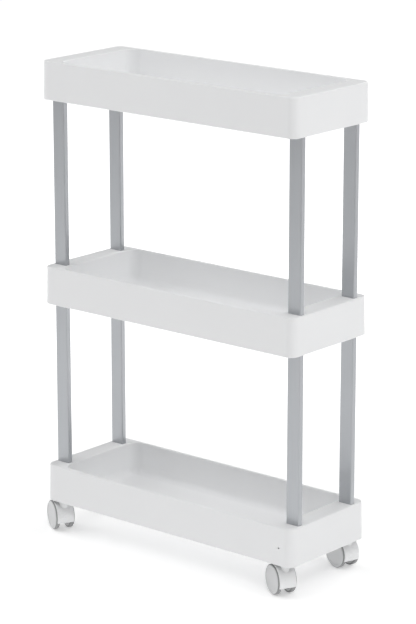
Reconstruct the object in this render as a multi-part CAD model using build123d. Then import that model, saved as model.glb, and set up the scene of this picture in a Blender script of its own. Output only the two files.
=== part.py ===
from build123d import *
import math
import os

# Slim three-tier rolling cart: moulded trays, post tubes between them and twin-wheel casters below.
# Millimetres. X runs along the trays, the front faces -Y, +Z is up.
# The origin is in the middle of the bottom tray's inside floor. Heights in this file are above the
# ground that the casters stand on, and save() lowers each finished piece to the origin.

# Driving dimensions of the trays
TRAY_LENGTH = 400.0
TRAY_DEPTH = 148.0
TRAY_HEIGHT = 48.0
TIER_PITCH = 260.0
FLOOR_CLEARANCE = 41.0
SKIRT_LEAN = 1.0
CORNER_RADIUS = 11.0
RIM_EDGE_RADIUS = 1.6
SKIRT_EDGE_RADIUS = 0.6
WALL = 2.0
END_RIM = 25.5
SIDE_RIM = 4.6
TUB_DEPTH = 41.5
TUB_LEAN = 2.2
TUB_CORNER_RADIUS = 15.0
TUB_FLOOR_RADIUS = 9.0
TUB_LIP_RADIUS = 1.2
FLOOR_THICKNESS = 2.4
RIB_THICKNESS = 1.4
RIB_PITCH = 50.0
RIB_SETBACK = 0.8

# Driving dimensions of the posts and their sockets
POST_WIDTH = 19.0
POST_DEPTH = 7.6
POST_CORNER_RADIUS = 1.5
POST_WALL = 1.2
POST_INNER_RADIUS = 0.5
POST_X = 187.0
POST_Y = 51.5
SOCKET_DEPTH = 22.0
SOCKET_CLEARANCE = 0.1
SOCKET_WALL = 2.2
PEEP_HOLE_RADIUS = 1.3
PEEP_HOLE_X = 181.0
PEEP_HOLE_Z = 22.0

# Driving dimensions of the casters
SWIVEL_X = 181.5
SWIVEL_Y = 62.0
WHEEL_RADIUS = 18.75
TYRE_THICKNESS = 2.2
TREAD_EDGE_RADIUS = 0.8
DISC_RADIUS = 17.85
DISC_THICKNESS = 2.2
DISC_DISH = 0.5
DISC_EDGE = 0.2
DISC_RING_RADIUS = 15.0
WHEEL_FACE_Y = 12.9
WHEEL_INNER_Y = 7.1
RIM_THICKNESS = 1.8
TRAIL = 10.3
AXLE_RADIUS = 2.5
AXLE_LENGTH = 20.6
AXLE_CHAMFER = 0.4
HUB_RADIUS = 5.0
RUNNING_CLEARANCE = 0.05
HOOD_INNER_RADIUS = 19.3
HOOD_RADIUS = 20.3
HOOD_HALF_WIDTH = 11.0
HOOD_EDGE_RADIUS = 0.6
HOOD_LOW_ANGLE = -19.0
HOOD_BACK_ANGLE = 112.0
SECTOR_STEPS = 4
WEB_HALF_WIDTH = 1.6
AXLE_BOSS_RADIUS = 5.5
AXLE_BOSS_HALF_WIDTH = 6.6
SEAT_RADIUS = 6.0
SEAT_BOTTOM = 19.0
SEAT_TOP = 39.4
COLLAR_BOTTOM = 39.7
COLLAR_RADIUS = 6.5
STEM_RADIUS = 4.0
STEM_LENGTH = 21.0
STEM_CHAMFER = 0.8
STEM_END_GAP = 0.5
JOURNAL_RADIUS = 2.4
JOURNAL_BOTTOM = 22.0
GROOVE_RADIUS = 3.3
GROOVE_HEIGHT = 4.4
GROOVE_RISE = 12.0
RING_HEIGHT = 4.0
RING_GAP = 1.2
STEM_BOSS_RADIUS = 6.6

# How far joined forms run into each other, and how far cuts run past a face
OVERLAP = 0.5
OVERCUT = 1.0

# Corners of the cart: name, side along X, side along Y and the caster's turn about its stem in degrees
CORNERS = (
    ("front_left", -1, -1, -27.5),
    ("front_right", 1, -1, -25.7),
    ("rear_left", -1, 1, -20.0),
    ("rear_right", 1, 1, -15.5),
)

SKIRT_TAPER = math.degrees(math.atan(SKIRT_LEAN / TRAY_HEIGHT))
TUB_TAPER = math.degrees(math.atan(TUB_LEAN / TUB_DEPTH))
ORIGIN_HEIGHT = FLOOR_CLEARANCE + TRAY_HEIGHT - TUB_DEPTH


def slab(length, depth, radius, height, taper):
    """Rounded rectangle drawn on Z = 0 and raised, leaning in as it rises."""
    return extrude(RectangleRounded(length, depth, radius), height, taper=taper)


def skirt_form(inset, height):
    """Outer form of a tray, moved inwards by inset, up to height."""
    return slab(
        TRAY_LENGTH - 2 * inset,
        TRAY_DEPTH - 2 * inset,
        CORNER_RADIUS - inset,
        height,
        SKIRT_TAPER,
    )


def tub_form(growth, floor_radius):
    """The tub's inside, grown outwards by growth, open end at the rim."""
    length = TRAY_LENGTH - 2 * SKIRT_LEAN - 2 * END_RIM + 2 * growth
    depth = TRAY_DEPTH - 2 * SKIRT_LEAN - 2 * SIDE_RIM + 2 * growth
    floor_drop = TUB_DEPTH + (FLOOR_THICKNESS if growth else 0.0)
    form = slab(length, depth, TUB_CORNER_RADIUS + growth, floor_drop, TUB_TAPER)
    form = fillet(form.faces().sort_by(Axis.Z)[-1].edges(), floor_radius)
    return Pos(0, 0, TRAY_HEIGHT) * Rot(180, 0, 0) * form


def tray_ribs():
    """Cross ribs under the floor and between skirt and tub."""
    count = int((TRAY_LENGTH / 2 - END_RIM) / RIB_PITCH)
    rib_height = TRAY_HEIGHT - RIB_SETBACK
    across = Box(RIB_THICKNESS, TRAY_DEPTH, rib_height)
    ribs = [Pos(i * RIB_PITCH, 0, RIB_SETBACK + rib_height / 2) * across for i in range(-count, count + 1)]
    along = Box(TRAY_LENGTH, RIB_THICKNESS, rib_height)
    ribs.append(Pos(0, 0, RIB_SETBACK + rib_height / 2) * along)
    return ribs


def socket_blocks():
    """Solid walls around the four post sockets, the full height of the end boxes."""
    block = Box(
        POST_WIDTH + 2 * SOCKET_WALL,
        POST_DEPTH + 2 * SOCKET_WALL,
        TRAY_HEIGHT,
    )
    return [Pos(sx * POST_X, sy * POST_Y, TRAY_HEIGHT / 2) * block for _, sx, sy, _ in CORNERS]


def post_sockets(top, bottom):
    """Pockets that the post ends slide into, from above, from below or both."""
    outline = RectangleRounded(
        POST_WIDTH + 2 * SOCKET_CLEARANCE,
        POST_DEPTH + 2 * SOCKET_CLEARANCE,
        POST_CORNER_RADIUS + SOCKET_CLEARANCE,
    )
    pocket = extrude(outline, SOCKET_DEPTH)
    levels = []
    if top:
        levels.append(TRAY_HEIGHT - SOCKET_DEPTH)
    if bottom:
        levels.append(0.0)
    return [Pos(sx * POST_X, sy * POST_Y, z) * pocket for z in levels for _, sx, sy, _ in CORNERS]


def cylinder_up(radius, bottom, top):
    """Upright cylinder on the Z axis between two heights."""
    return Pos(0, 0, (bottom + top) / 2) * Cylinder(radius, top - bottom)


def stem_bosses():
    """Round bosses that hold the caster stems, reaching up into the end boxes."""
    boss = cylinder_up(STEM_BOSS_RADIUS, 0.0, STEM_LENGTH + WALL)
    return [Pos(sx * SWIVEL_X, sy * SWIVEL_Y, 0) * boss for _, sx, sy, _ in CORNERS]


def stem_holes():
    """Blind holes for the caster stems."""
    hole = cylinder_up(STEM_RADIUS + RUNNING_CLEARANCE, -OVERCUT, STEM_LENGTH + STEM_END_GAP)
    return [Pos(sx * SWIVEL_X, sy * SWIVEL_Y, 0) * hole for _, sx, sy, _ in CORNERS]


def tray(top_sockets, bottom_sockets, caster_bosses):
    """One moulded tray on Z = 0: skirt, tub and, underneath, the open ribbed hollow between them."""
    body = skirt_form(0.0, TRAY_HEIGHT)
    body = fillet(body.faces().sort_by(Axis.Z)[-1].edges(), RIM_EDGE_RADIUS)
    body = fillet(body.faces().sort_by(Axis.Z)[0].edges(), SKIRT_EDGE_RADIUS)
    hollow = skirt_form(WALL, TRAY_HEIGHT - WALL)
    hollow = hollow - tub_form(WALL, TUB_FLOOR_RADIUS + WALL)
    for rib in tray_ribs():
        hollow = hollow - rib
    if top_sockets or bottom_sockets:
        for block in socket_blocks():
            hollow = hollow - block
    if caster_bosses:
        for boss in stem_bosses():
            hollow = hollow - boss
    body = body - hollow
    body = body - tub_form(0.0, TUB_FLOOR_RADIUS)
    for pocket in post_sockets(top_sockets, bottom_sockets):
        body = body - pocket
    if caster_bosses:
        for hole in stem_holes():
            body = body - hole
    return body


def soften_lip(body):
    """Rounds the tub's upper edge."""
    half_length = TRAY_LENGTH / 2 - SKIRT_LEAN - END_RIM
    half_depth = TRAY_DEPTH / 2 - SKIRT_LEAN - SIDE_RIM
    level = body.edges().filter_by(lambda e: abs(e.center().Z - TRAY_HEIGHT) < 0.01)
    lip = level.filter_by(
        lambda e: abs(e.center().X) < half_length + 0.1
        and abs(e.center().Y) < half_depth + 0.1
        and abs(e.bounding_box().size.Z) < 0.01
    )
    return fillet(lip, TUB_LIP_RADIUS)


def peep_hole(body):
    """Small drilled hole through the front skirt, near its right end."""
    drill = Rot(90, 0, 0) * Cylinder(PEEP_HOLE_RADIUS, 4 * WALL)
    return body - Pos(PEEP_HOLE_X, -TRAY_DEPTH / 2, PEEP_HOLE_Z) * drill


def post():
    """Rounded rectangular tube, its lower end on Z = 0."""
    length = TIER_PITCH - TRAY_HEIGHT + 2 * SOCKET_DEPTH
    outer = RectangleRounded(POST_WIDTH, POST_DEPTH, POST_CORNER_RADIUS)
    inner = RectangleRounded(POST_WIDTH - 2 * POST_WALL, POST_DEPTH - 2 * POST_WALL, POST_INNER_RADIUS)
    return extrude(outer - inner, length)


def along_axle(profile):
    """Turns a profile drawn on XZ about Z, then lays its axis along Y through the axle's centre."""
    turned = revolve(profile, Axis.Z, 360)
    return Pos(-TRAIL, 0, WHEEL_RADIUS) * Rot(90, 0, 0) * turned


def wheel_profile(points):
    """Closed section in radius and depth from the wheel's outer face."""
    return Plane.XZ * make_face(Polyline(*points, close=True))


def wheel():
    """Cup-shaped wheel: outer disc, rim and hub with a blind bore. Its outer face looks along -Y."""
    face = WHEEL_FACE_Y
    inner = WHEEL_INNER_Y
    rim_outer = WHEEL_RADIUS - TYRE_THICKNESS - RUNNING_CLEARANCE
    bore = AXLE_RADIUS + RUNNING_CLEARANCE
    back = face - DISC_THICKNESS
    section = wheel_profile(
        (
            (0, face - DISC_DISH),
            (DISC_RING_RADIUS - DISC_DISH, face - DISC_DISH),
            (DISC_RING_RADIUS, face),
            (DISC_RADIUS - DISC_DISH, face),
            (DISC_RADIUS, face - DISC_DISH),
            (DISC_RADIUS, face - DISC_DISH - DISC_EDGE),
            (rim_outer, face - DISC_DISH - DISC_EDGE),
            (rim_outer, inner),
            (rim_outer - RIM_THICKNESS, inner),
            (rim_outer - RIM_THICKNESS, back),
            (HUB_RADIUS, back),
            (HUB_RADIUS, inner),
            (bore, inner),
            (bore, back),
            (0, back),
        )
    )
    return along_axle(section)


def tyre():
    """Plain tread ring around a wheel's rim."""
    outer_y = WHEEL_FACE_Y - DISC_DISH - DISC_EDGE - RUNNING_CLEARANCE
    width = outer_y - WHEEL_INNER_Y
    section = Pos(WHEEL_RADIUS - TYRE_THICKNESS / 2, (outer_y + WHEEL_INNER_Y) / 2) * Rectangle(TYRE_THICKNESS, width)
    outer_corners = section.vertices().sort_by(Axis.X)[-2:]
    section = fillet(outer_corners, TREAD_EDGE_RADIUS)
    return along_axle(Plane.XZ * section)


def axle_disc(radius, half_width):
    """Disc about the axle's line, spread evenly to both sides of the caster's middle."""
    return Pos(-TRAIL, 0, WHEEL_RADIUS) * Rot(90, 0, 0) * Cylinder(radius, 2 * half_width)


def hood_sector(half_width):
    """Wedge about the axle's line that the hood fills, from its low front edge over the top to its back edge."""
    reach = 2 * HOOD_RADIUS
    sweep = HOOD_BACK_ANGLE - HOOD_LOW_ANGLE
    angles = [math.radians(HOOD_LOW_ANGLE + sweep * i / SECTOR_STEPS) for i in range(SECTOR_STEPS + 1)]
    outline = [(0, 0)] + [(reach * math.cos(a), reach * math.sin(a)) for a in angles]
    wedge = extrude(make_face(Polyline(*outline, close=True)), half_width, both=True)
    return Pos(-TRAIL, 0, WHEEL_RADIUS) * Rot(90, 0, 0) * wedge


def hood():
    """Cover over both treads, with a web between the wheels and the bosses for the stem and the axle."""
    shell = axle_disc(HOOD_RADIUS, HOOD_HALF_WIDTH)
    shell = fillet(shell.edges(), HOOD_EDGE_RADIUS)
    shell = shell - axle_disc(HOOD_INNER_RADIUS, HOOD_HALF_WIDTH + OVERCUT)
    web = axle_disc(HOOD_INNER_RADIUS + OVERLAP, WEB_HALF_WIDTH)
    body = (shell + web) & hood_sector(HOOD_HALF_WIDTH + OVERCUT)
    body = body + cylinder_up(SEAT_RADIUS, SEAT_BOTTOM, SEAT_TOP)
    body = body + axle_disc(AXLE_BOSS_RADIUS, AXLE_BOSS_HALF_WIDTH)
    body = body - cylinder_up(JOURNAL_RADIUS + RUNNING_CLEARANCE, JOURNAL_BOTTOM - OVERLAP, SEAT_TOP + OVERCUT)
    return body - axle_disc(AXLE_RADIUS + RUNNING_CLEARANCE, AXLE_BOSS_HALF_WIDTH + OVERCUT)


def axle():
    """Steel pin through the hood's web and both hubs."""
    pin = Cylinder(AXLE_RADIUS, AXLE_LENGTH)
    pin = chamfer(pin.edges(), AXLE_CHAMFER)
    return Pos(-TRAIL, 0, WHEEL_RADIUS) * Rot(90, 0, 0) * pin


def stem():
    """Steel stem: journal in the hood, collar under the tray and grooved shank in the tray's boss."""
    top = FLOOR_CLEARANCE + STEM_LENGTH
    groove_bottom = FLOOR_CLEARANCE + GROOVE_RISE
    shank = cylinder_up(STEM_RADIUS, FLOOR_CLEARANCE - OVERLAP, top)
    shank = chamfer(shank.faces().sort_by(Axis.Z)[-1].edges(), STEM_CHAMFER)
    groove = cylinder_up(STEM_RADIUS + OVERCUT, groove_bottom, groove_bottom + GROOVE_HEIGHT)
    groove = groove - cylinder_up(GROOVE_RADIUS, groove_bottom, groove_bottom + GROOVE_HEIGHT)
    collar = cylinder_up(COLLAR_RADIUS, COLLAR_BOTTOM, FLOOR_CLEARANCE)
    journal = cylinder_up(JOURNAL_RADIUS, JOURNAL_BOTTOM, COLLAR_BOTTOM + OVERLAP)
    return shank - groove + collar + journal


def grip_ring():
    """Split spring ring in the stem's groove."""
    bottom = FLOOR_CLEARANCE + GROOVE_RISE + (GROOVE_HEIGHT - RING_HEIGHT) / 2
    top = bottom + RING_HEIGHT
    ring = cylinder_up(STEM_RADIUS + RUNNING_CLEARANCE / 2, bottom, top)
    ring = ring - cylinder_up(GROOVE_RADIUS + RUNNING_CLEARANCE, bottom, top)
    slit = Box(2 * STEM_RADIUS, RING_GAP, 2 * RING_HEIGHT)
    return ring - Pos(STEM_RADIUS, 0, (bottom + top) / 2) * slit


def save(shape, name):
    """Lowers one piece to the origin and writes it to its own file."""
    export_step(Pos(0, 0, -ORIGIN_HEIGHT) * shape, f"parts/{name}.step")
    print(name, round(shape.volume), len(shape.solids()))


os.makedirs("parts", exist_ok=True)

bottom_tray = soften_lip(peep_hole(tray(True, False, True)))
middle_tray = soften_lip(tray(True, True, False))
top_tray = soften_lip(tray(False, True, False))
for level, (name, shape) in enumerate(
    (("bottom_tray", bottom_tray), ("middle_tray", middle_tray), ("top_tray", top_tray))
):
    save(Pos(0, 0, FLOOR_CLEARANCE + level * TIER_PITCH) * shape, name)

lower_end = FLOOR_CLEARANCE + TRAY_HEIGHT - SOCKET_DEPTH
for level, tier in enumerate(("lower", "upper")):
    for corner, side_x, side_y, _ in CORNERS:
        place = Pos(side_x * POST_X, side_y * POST_Y, lower_end + level * TIER_PITCH)
        save(place * post(), f"{tier}_post_{corner}")

caster_pieces = (
    ("stem", stem()),
    ("grip_ring", grip_ring()),
    ("hood", hood()),
    ("axle", axle()),
    ("wheel_right", wheel()),
    ("tyre_right", tyre()),
    ("wheel_left", mirror(wheel(), about=Plane.XZ)),
    ("tyre_left", mirror(tyre(), about=Plane.XZ)),
)
for corner, side_x, side_y, turn in CORNERS:
    place = Pos(side_x * SWIVEL_X, side_y * SWIVEL_Y, 0) * Rot(0, 0, turn)
    for name, shape in caster_pieces:
        save(place * shape, f"caster_{corner}_{name}")
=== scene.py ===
"""Slim rolling storage cart: finishes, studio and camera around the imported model."""

import logging
import math
from dataclasses import dataclass
from enum import Enum
from typing import Any

import bpy
from mathutils import Matrix, Vector


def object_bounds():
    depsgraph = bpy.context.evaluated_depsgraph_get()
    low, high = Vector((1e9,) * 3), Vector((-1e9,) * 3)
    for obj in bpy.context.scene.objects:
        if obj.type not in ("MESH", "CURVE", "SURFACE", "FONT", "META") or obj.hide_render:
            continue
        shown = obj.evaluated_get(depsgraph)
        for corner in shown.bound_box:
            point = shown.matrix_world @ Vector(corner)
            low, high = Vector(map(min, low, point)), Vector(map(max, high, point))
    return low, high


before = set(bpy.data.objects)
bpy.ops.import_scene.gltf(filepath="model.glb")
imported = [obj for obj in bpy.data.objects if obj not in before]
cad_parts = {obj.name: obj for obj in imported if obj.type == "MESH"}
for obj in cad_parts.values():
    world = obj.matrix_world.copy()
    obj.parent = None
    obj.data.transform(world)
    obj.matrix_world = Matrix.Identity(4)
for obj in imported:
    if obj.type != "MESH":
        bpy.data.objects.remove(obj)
CAD_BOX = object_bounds()

logging.basicConfig(level=logging.INFO, format="%(message)s")
log = logging.getLogger("cart")

MM = 0.001
NOISE_MIDDLE = 0.5
LEVEL_TURN = 90.0
Triple = tuple[float, float, float]
Colour = Triple


class Corner(Enum):
    """The cart's four corners, as the nodes name them."""

    FRONT_LEFT = "front_left"
    FRONT_RIGHT = "front_right"
    REAR_LEFT = "rear_left"
    REAR_RIGHT = "rear_right"


class Tier(Enum):
    """The three trays, from the floor up."""

    BOTTOM = "bottom_tray"
    MIDDLE = "middle_tray"
    TOP = "top_tray"


class Value:
    """One socket of a material's node tree, with operators that add Math nodes."""

    def __init__(self, graph: "Graph", socket: bpy.types.NodeSocket) -> None:
        """Keeps the graph and the socket that it wraps."""
        self.graph = graph
        self.socket = socket

    def _math(self, operation: str, first: Any, second: Any) -> "Value":
        """Adds one Math node.

        Args:
            operation: the Math node's operation.
            first: a Value or number for its first socket.
            second: a Value or number for its second socket.

        Returns:
            The node's result.
        """
        return self.graph.add("ShaderNodeMath", {"operation": operation}, {0: first, 1: second})

    def __add__(self, other: Any) -> "Value":
        """Sum."""
        return self._math("ADD", self, other)

    __radd__ = __add__

    def __sub__(self, other: Any) -> "Value":
        """Difference."""
        return self._math("SUBTRACT", self, other)

    def __rsub__(self, other: Any) -> "Value":
        """Difference from a number."""
        return self._math("SUBTRACT", other, self)

    def __mul__(self, other: Any) -> "Value":
        """Product."""
        return self._math("MULTIPLY", self, other)

    __rmul__ = __mul__

    def __pow__(self, other: Any) -> "Value":
        """Power."""
        return self._math("POWER", self, other)


class Graph:
    """A material's node tree, built from finishes."""

    def __init__(self, name: str) -> None:
        """Starts an empty tree on a new material of that name."""
        self.material = bpy.data.materials.new(name)
        self.material.use_nodes = True
        self.tree = self.material.node_tree
        self.tree.nodes.clear()

    def add(
        self, kind: str, settings: dict[str, Any], inputs: dict[Any, Any], output: Any = 0
    ) -> Value:
        """Adds one node.

        Args:
            kind: the node's type.
            settings: its own properties, set before its sockets.
            inputs: a Value, number, colour or vector for each socket, by name or place.
            output: the name or place of the socket to return.

        Returns:
            The chosen output.
        """
        node = self.tree.nodes.new(kind)
        for key, setting in settings.items():
            setattr(node, key, setting)
        for key, value in inputs.items():
            if isinstance(value, Value):
                self.tree.links.new(value.socket, node.inputs[key])
            else:
                node.inputs[key].default_value = value
        return Value(self, node.outputs[output])

    def place(self, scale: Triple = (1.0, 1.0, 1.0)) -> Value:
        """Object coordinates in metres, multiplied by scale."""
        coordinates = self.add("ShaderNodeTexCoord", {}, {}, "Object")
        return self.add("ShaderNodeMapping", {}, {"Vector": coordinates, "Scale": scale})

    def blend(self, share: Any, first: Any, second: Any) -> Value:
        """Mixes two colours.

        Args:
            share: how much of the second one, from 0 to 1.
            first: a Value or a colour.
            second: a Value or a colour.

        Returns:
            The mixed colour.
        """
        pair = [c if isinstance(c, Value) else (*c, 1.0) for c in (first, second)]
        settings = {"data_type": "RGBA", "blend_type": "MIX"}
        return self.add("ShaderNodeMix", settings, {0: share, 6: pair[0], 7: pair[1]}, 2)

    def rise(self, along: Value, reach: tuple[float, float], level: float) -> Value:
        """Climbs smoothly from nothing to a level.

        Args:
            along: what it climbs with.
            reach: where it starts and ends.
            level: how high it gets.

        Returns:
            The height reached.
        """
        start, end = reach
        wanted = {"Value": along, "From Min": start, "From Max": end, "To Max": level}
        settings = {"interpolation_type": "SMOOTHSTEP"}
        return self.add("ShaderNodeMapRange", settings, wanted, "Result")

    def bump(self, height: Value, depth: float, strength: float) -> Value:
        """Normal for a relief whose height of 1 stands depth metres proud."""
        wanted = {"Height": height, "Distance": depth, "Strength": strength}
        return self.add("ShaderNodeBump", {}, wanted, "Normal")

    def finish(self, shader: dict[str, Any]) -> bpy.types.Material:
        """Adds the surface shader and the output.

        Args:
            shader: what its sockets take.

        Returns:
            The finished material.
        """
        surface = self.add("ShaderNodeBsdfPrincipled", {}, shader)
        end = self.tree.nodes.new("ShaderNodeOutputMaterial")
        self.tree.links.new(surface.socket, end.inputs["Surface"])
        return self.material


@dataclass(frozen=True)
class Pattern:
    """A noise pattern whose features are about size metres across."""

    size: float
    detail: float = 2.0
    roughness: float = 0.5
    scale: Triple = (1.0, 1.0, 1.0)

    def on(self, graph: Graph) -> Value:
        """Lays the pattern on a material.

        Args:
            graph: the material's node tree.

        Returns:
            The pattern's value, from 0 to 1.
        """
        wanted = {
            "Vector": graph.place(self.scale),
            "Scale": 1.0 / self.size,
            "Detail": self.detail,
            "Roughness": self.roughness,
        }
        return graph.add("ShaderNodeTexNoise", {}, wanted, "Fac")


@dataclass(frozen=True)
class MouldedPlastic:
    """Injection-moulded plastic with a fine spark-eroded grain."""

    name: str
    colour: Colour
    shade: Colour
    roughness: float
    grain: Pattern
    grain_depth: float
    grain_strength: float = 0.6
    coat: float = 0.0
    coat_roughness: float = 0.12
    ior: float = 1.49
    cloud: Pattern = Pattern(45 * MM, 3.0)
    cloud_share: float = 0.8
    cloud_swing: float = 0.06
    scuff: Pattern = Pattern(2.4 * MM, 4.0, 0.62, (1.0, 0.22, 1.0))
    scuff_swing: float = 0.10

    def material(self) -> bpy.types.Material:
        """Makes slightly cloudy plastic with faint scuffs in its gloss.

        Returns:
            The material, with the mould's grain as relief.
        """
        graph = Graph(self.name)
        cloud = self.cloud.on(graph)
        scuff = self.scuff.on(graph)
        grain = self.grain.on(graph)
        wear = (scuff - NOISE_MIDDLE) * self.scuff_swing
        unevenness = (cloud - NOISE_MIDDLE) * self.cloud_swing
        return graph.finish(
            {
                "Base Color": graph.blend(cloud * self.cloud_share, self.colour, self.shade),
                "Roughness": self.roughness + wear + unevenness,
                "IOR": self.ior,
                "Coat Weight": self.coat,
                "Coat Roughness": self.coat_roughness,
                "Normal": graph.bump(grain, self.grain_depth, self.grain_strength),
            }
        )


@dataclass(frozen=True)
class DrawnTube:
    """Satin silver tube with fine lines along its length."""

    name: str
    colour: Colour
    shade: Colour
    roughness: float
    metallic: float
    lines: Pattern = Pattern(0.35 * MM, 3.0, 0.6, (1.0, 1.0, 0.004))
    line_share: float = 0.7
    line_swing: float = 0.16
    line_depth: float = 0.02 * MM
    line_strength: float = 0.5
    cloud: Pattern = Pattern(22 * MM, scale=(1.0, 1.0, 0.35))
    cloud_share: float = 0.2
    cloud_swing: float = 0.08

    def material(self) -> bpy.types.Material:
        """Makes satin metal with drawing lines along Z.

        Returns:
            The material, with the lines in its colour, gloss and relief.
        """
        graph = Graph(self.name)
        lines = self.lines.on(graph)
        cloud = self.cloud.on(graph)
        share = lines * self.line_share + cloud * self.cloud_share
        streaks = (lines - NOISE_MIDDLE) * self.line_swing
        unevenness = (cloud - NOISE_MIDDLE) * self.cloud_swing
        return graph.finish(
            {
                "Base Color": graph.blend(share, self.colour, self.shade),
                "Metallic": self.metallic,
                "Roughness": self.roughness + streaks + unevenness,
                "Normal": graph.bump(lines, self.line_depth, self.line_strength),
            }
        )


@dataclass(frozen=True)
class Tread:
    """Soft grey wheel tread."""

    name: str
    colour: Colour
    dusty: Colour
    roughness: float
    dust: Pattern = Pattern(3.5 * MM, 5.0, 0.7)
    dust_power: float = 2.0
    dust_swing: float = 0.2
    pebble: Pattern = Pattern(0.5 * MM)
    pebble_depth: float = 0.06 * MM
    pebble_strength: float = 0.7

    def material(self) -> bpy.types.Material:
        """Makes matt grey rubber with a little dust.

        Returns:
            The material, with a pebbled relief.
        """
        graph = Graph(self.name)
        dust = self.dust.on(graph)
        pebble = self.pebble.on(graph)
        return graph.finish(
            {
                "Base Color": graph.blend(dust**self.dust_power, self.colour, self.dusty),
                "Roughness": self.roughness + (dust - NOISE_MIDDLE) * self.dust_swing,
                "Normal": graph.bump(pebble, self.pebble_depth, self.pebble_strength),
            }
        )


@dataclass(frozen=True)
class PlatedSteel:
    """Zinc-plated steel pin."""

    name: str
    colour: Colour
    tint: Colour
    roughness: float
    spangle: Pattern = Pattern(1.6 * MM, 3.0, 0.6)
    spangle_swing: float = 0.18
    marks: Pattern = Pattern(0.2 * MM, scale=(0.05, 0.05, 1.0))
    mark_depth: float = 0.01 * MM
    mark_strength: float = 0.5

    def material(self) -> bpy.types.Material:
        """Makes spangled plating.

        Returns:
            The material, with fine machining marks as relief.
        """
        graph = Graph(self.name)
        spangle = self.spangle.on(graph)
        marks = self.marks.on(graph)
        return graph.finish(
            {
                "Base Color": graph.blend(spangle, self.colour, self.tint),
                "Metallic": 1.0,
                "Roughness": self.roughness + (spangle - NOISE_MIDDLE) * self.spangle_swing,
                "Normal": graph.bump(marks, self.mark_depth, self.mark_strength),
            }
        )


TRAY_WHITE = MouldedPlastic(
    name="tray_white",
    colour=(0.94, 0.945, 0.95),
    shade=(0.915, 0.92, 0.93),
    roughness=0.40,
    grain=Pattern(0.55 * MM, roughness=0.55),
    grain_depth=0.02 * MM,
)
HOOD_WHITE = MouldedPlastic(
    name="hood_white",
    colour=(0.94, 0.945, 0.95),
    shade=(0.91, 0.915, 0.92),
    roughness=0.28,
    grain=Pattern(0.8 * MM, roughness=0.55),
    grain_depth=0.01 * MM,
    coat=0.2,
)
WHEEL_GREY = MouldedPlastic(
    name="wheel_grey",
    colour=(0.72, 0.725, 0.73),
    shade=(0.66, 0.665, 0.67),
    roughness=0.34,
    grain=Pattern(0.7 * MM, roughness=0.55),
    grain_depth=0.015 * MM,
)
TUBE_SILVER = DrawnTube(
    name="tube_silver",
    colour=(0.50, 0.515, 0.535),
    shade=(0.43, 0.445, 0.465),
    roughness=0.33,
    metallic=0.85,
)
TREAD_GREY = Tread(
    name="tread_grey",
    colour=(0.31, 0.315, 0.32),
    dusty=(0.43, 0.43, 0.425),
    roughness=0.62,
)
PIN_STEEL = PlatedSteel(
    name="pin_steel",
    colour=(0.62, 0.63, 0.65),
    tint=(0.54, 0.55, 0.58),
    roughness=0.30,
)


def dress(node: str, material: bpy.types.Material) -> bpy.types.Object:
    """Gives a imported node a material.

    Args:
        node: the node's name.
        material: what it is made of.

    Returns:
        The node's object.
    """
    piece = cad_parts[node]
    piece.data.materials.clear()
    piece.data.materials.append(material)
    return piece


@dataclass
class Trays:
    """The three moulded trays."""

    finish: MouldedPlastic = TRAY_WHITE

    def build(self) -> None:
        """Dresses each tray."""
        material = self.finish.material()
        for tier in Tier:
            dress(tier.value, material)
            log.info("tray: %s", tier.value)


@dataclass
class Posts:
    """The eight post tubes between the trays."""

    finish: DrawnTube = TUBE_SILVER
    tiers: tuple[str, str] = ("lower", "upper")

    def build(self) -> None:
        """Dresses each tube."""
        material = self.finish.material()
        for tier in self.tiers:
            for corner in Corner:
                dress(f"{tier}_post_{corner.value}", material)
            log.info("posts: %s", tier)


@dataclass
class Casters:
    """The four hooded twin-wheel casters."""

    hood: MouldedPlastic = HOOD_WHITE
    wheel: MouldedPlastic = WHEEL_GREY
    tread: Tread = TREAD_GREY
    pin: PlatedSteel = PIN_STEEL
    sides: tuple[str, str] = ("left", "right")

    def build(self) -> None:
        """Dresses every piece of every caster."""
        hood = self.hood.material()
        wheel = self.wheel.material()
        tread = self.tread.material()
        pin = self.pin.material()
        for corner in Corner:
            caster = f"caster_{corner.value}"
            dress(f"{caster}_hood", hood)
            for name in ("stem", "grip_ring", "axle"):
                dress(f"{caster}_{name}", pin)
            for side in self.sides:
                dress(f"{caster}_wheel_{side}", wheel)
                dress(f"{caster}_tyre_{side}", tread)
            log.info("caster: %s", caster)


@dataclass(frozen=True)
class PaleFloor:
    """Matt pale floor with a painted glow, strongest behind the cart, that whitens the floor
    and lightens the cart's shadow on it.
    """

    name: str = "floor_pale"
    colour: Colour = (0.93, 0.93, 0.93)
    shade: Colour = (0.90, 0.90, 0.90)
    tone: Pattern = Pattern(0.8)
    tone_share: float = 0.4
    roughness: float = 0.85
    specular: float = 0.1
    glow_near: float = 0.32
    glow_behind: float = 0.52
    behind: Triple = (-0.65, 0.76, 0.0)
    behind_reach: tuple[float, float] = (0.0, 1.4)

    def material(self) -> bpy.types.Material:
        """Makes the floor's surface.

        Returns:
            The material, whose painted glow climbs with the distance behind the cart.
        """
        graph = Graph(self.name)
        tone = self.tone.on(graph)
        depth = graph.add(
            "ShaderNodeVectorMath",
            {"operation": "DOT_PRODUCT"},
            {0: graph.place(), 1: self.behind},
            "Value",
        )
        # painted glow: the floor emits light though it is no lamp, to lighten the cart's shadow
        # on it and whiten the floor behind the cart
        glow = graph.rise(depth, self.behind_reach, self.glow_behind) + self.glow_near
        return graph.finish(
            {
                "Base Color": graph.blend(tone * self.tone_share, self.colour, self.shade),
                "Roughness": self.roughness,
                "Emission Color": glow,
                "Emission Strength": 1.0,
                "Specular IOR Level": self.specular,
            }
        )


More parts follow.
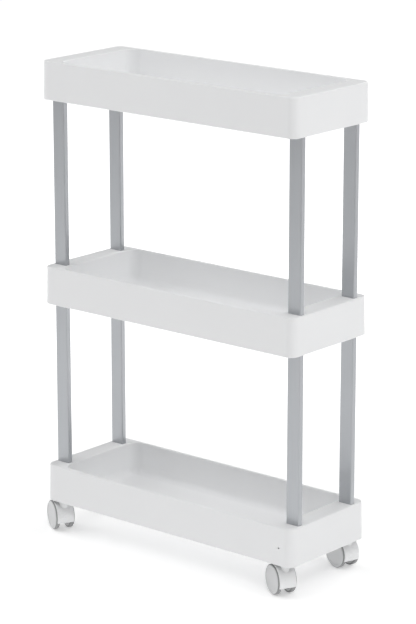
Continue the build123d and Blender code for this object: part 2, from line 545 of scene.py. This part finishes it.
@dataclass(frozen=True)
class SoftLamp:
    """One square soft lamp, with its side in metres and its power in watts."""

    name: str
    place: Triple
    size: float
    power: float

    def hang(self, aim: Triple) -> None:
        """Hangs the lamp, turned to face a point.

        Args:
            aim: the point.
        """
        data = bpy.data.lights.new(self.name, "AREA")
        data.shape = "SQUARE"
        data.size = self.size
        data.energy = self.power
        lamp = bpy.data.objects.new(self.name, data)
        lamp.location = self.place
        towards = Vector(aim) - Vector(self.place)
        lamp.rotation_euler = towards.to_track_quat("-Z", "Y").to_euler()
        bpy.context.scene.collection.objects.link(lamp)


@dataclass
class Studio:
    """The floor, the lamps and a dim surround."""

    floor_half: float = 14.0
    floor_finish: PaleFloor = PaleFloor()
    surround: Colour = (1.0, 1.0, 1.0)
    surround_strength: float = 0.12
    aim: Triple = (0.0, 0.0, 0.28)
    lamps: tuple[SoftLamp, ...] = (
        SoftLamp("overhead", (0.1, -0.2, 3.0), 2.6, 20.0),
        SoftLamp("high_right_front", (1.8, -1.8, 2.6), 1.6, 24.0),
        SoftLamp("high_left_front", (-1.8, -1.8, 2.6), 1.6, 13.0),
        SoftLamp("high_right", (2.4, 0.8, 2.4), 1.6, 24.0),
        SoftLamp("left_side", (-2.8, -0.3, 1.6), 1.8, 31.0),
        SoftLamp("behind", (0.3, 2.8, 1.8), 2.0, 26.0),
    )

    def floor(self) -> None:
        """Lays the floor as one plane under the casters."""
        bpy.ops.mesh.primitive_plane_add(size=2 * self.floor_half)
        plane = bpy.context.object
        plane.name = "floor"
        lowest = CAD_BOX[0][2]
        plane.data.transform(Matrix.Translation((0.0, 0.0, lowest)))
        plane.data.materials.append(self.floor_finish.material())

    def build(self) -> None:
        """Lays the floor, hangs the lamps and lights the surround."""
        self.floor()
        for lamp in self.lamps:
            lamp.hang(self.aim)
            log.info("lamp: %s", lamp.name)
        world = bpy.data.worlds.new("surround")
        world.use_nodes = True
        background = world.node_tree.nodes["Background"]
        background.inputs["Color"].default_value = (*self.surround, 1.0)
        background.inputs["Strength"].default_value = self.surround_strength
        scene = bpy.context.scene
        scene.world = world
        scene.view_settings.view_transform = "Standard"
        scene.view_settings.look = "None"
        log.info("studio: floor, lamps and surround")


@dataclass
class Viewpoint:
    """The camera, placed by its turn and tilt."""

    azimuth: float = 40.15
    elevation: float = 15.0
    place: Triple = (2.0656, -2.4381, 1.1171)
    lens: float = 155.06
    sensor: float = 36.0
    sight: float = 100.0

    def build(self) -> None:
        """Makes the scene's camera."""
        data = bpy.data.cameras.new("viewpoint")
        data.sensor_width = self.sensor
        data.lens = self.lens
        data.clip_end = self.sight
        camera = bpy.data.objects.new("viewpoint", data)
        camera.location = self.place
        tilt = math.radians(LEVEL_TURN - self.elevation)
        camera.rotation_euler = (tilt, 0.0, math.radians(self.azimuth))
        bpy.context.scene.collection.objects.link(camera)
        bpy.context.scene.camera = camera
        log.info("camera: %.1f degrees round, %.1f up", self.azimuth, self.elevation)


def main() -> None:
    """Builds the camera, the cart's sub-assemblies and the studio."""
    for part in (Viewpoint(), Trays(), Posts(), Casters(), Studio()):
        part.build()


if __name__ == "__main__":
    main()
